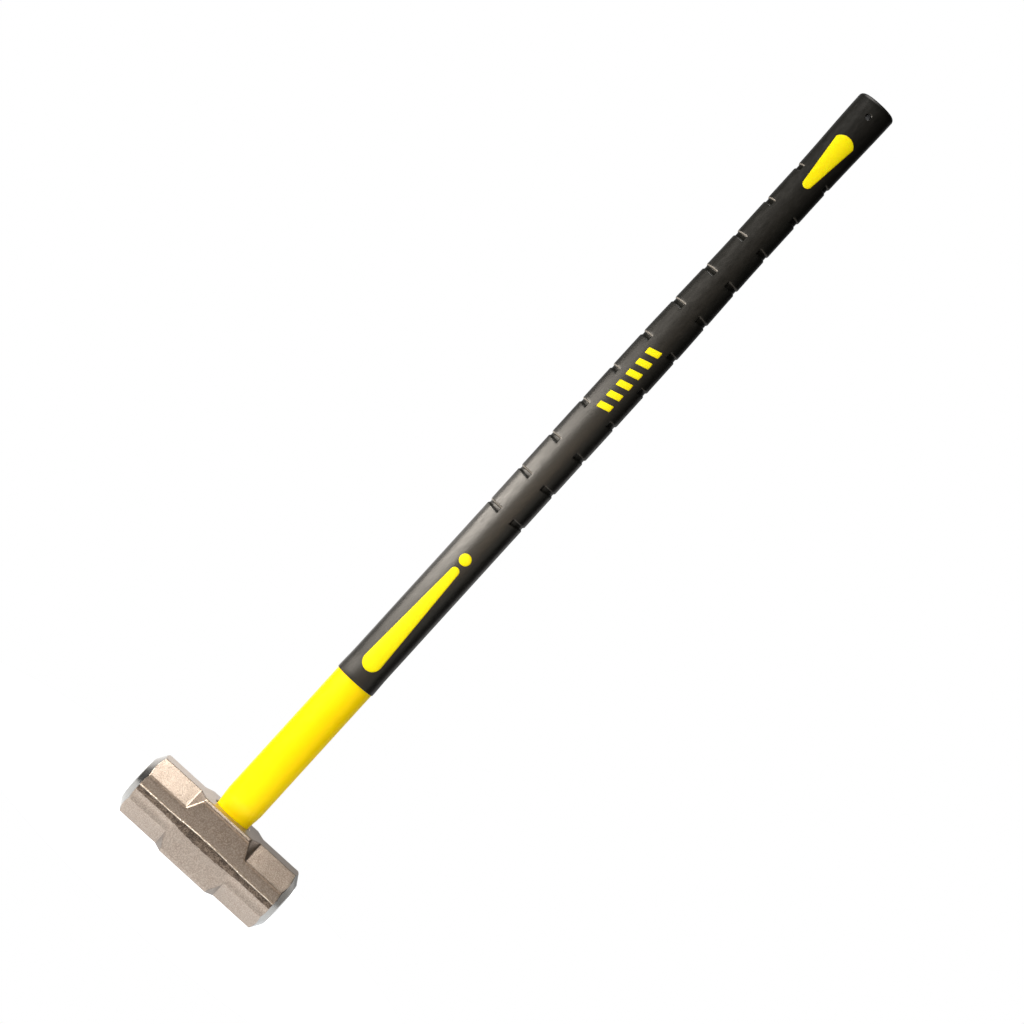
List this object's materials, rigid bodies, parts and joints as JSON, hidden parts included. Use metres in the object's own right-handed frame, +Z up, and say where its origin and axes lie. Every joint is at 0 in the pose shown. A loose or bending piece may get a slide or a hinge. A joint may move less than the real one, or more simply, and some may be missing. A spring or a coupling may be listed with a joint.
{
  "type": "sledgehammer",
  "caption": "Double-faced sledgehammer with an octagonal forged steel head and a long moulded fibreglass handle with a rubber grip.",
  "frame": {"origin": "centre of the hammer's outline on the ground plane under the head, on the handle's axis; the hammer stands on its head", "axes": "+Z up the handle from the head to the butt, X along the head between the striking faces, -Y the handle's front"},
  "size_m": [0.172, 0.0634, 0.914],
  "materials": {
    "forged_head": "champagne metallic paint over rough forging, with turned bright steel at both striking faces",
    "yellow_jacket": "smooth moulded plastic, satin to glossy",
    "black_grip": "moulded rubber with a soft broad sheen",
    "yellow_inlay": "moulded plastic, satin",
    "fibreglass": "pultruded glass fibre in resin, cut end with a fine grain",
    "resin": "cured potting resin, slightly uneven"
  },
  "bodies": {
    "root": {"head": "forged_head", "eye_resin": "resin", "core_rod": "fibreglass", "jacket": "yellow_jacket", "grip": "black_grip", "long_inlay_front": "yellow_inlay", "long_inlay_back": "yellow_inlay", "dot_inlay_front": "yellow_inlay", "dot_inlay_back": "yellow_inlay", "butt_inlay_front": "yellow_inlay", "butt_inlay_back": "yellow_inlay", "mark_bars_front": "yellow_inlay", "mark_bars_back": "yellow_inlay"}
  },
  "joints": []
}
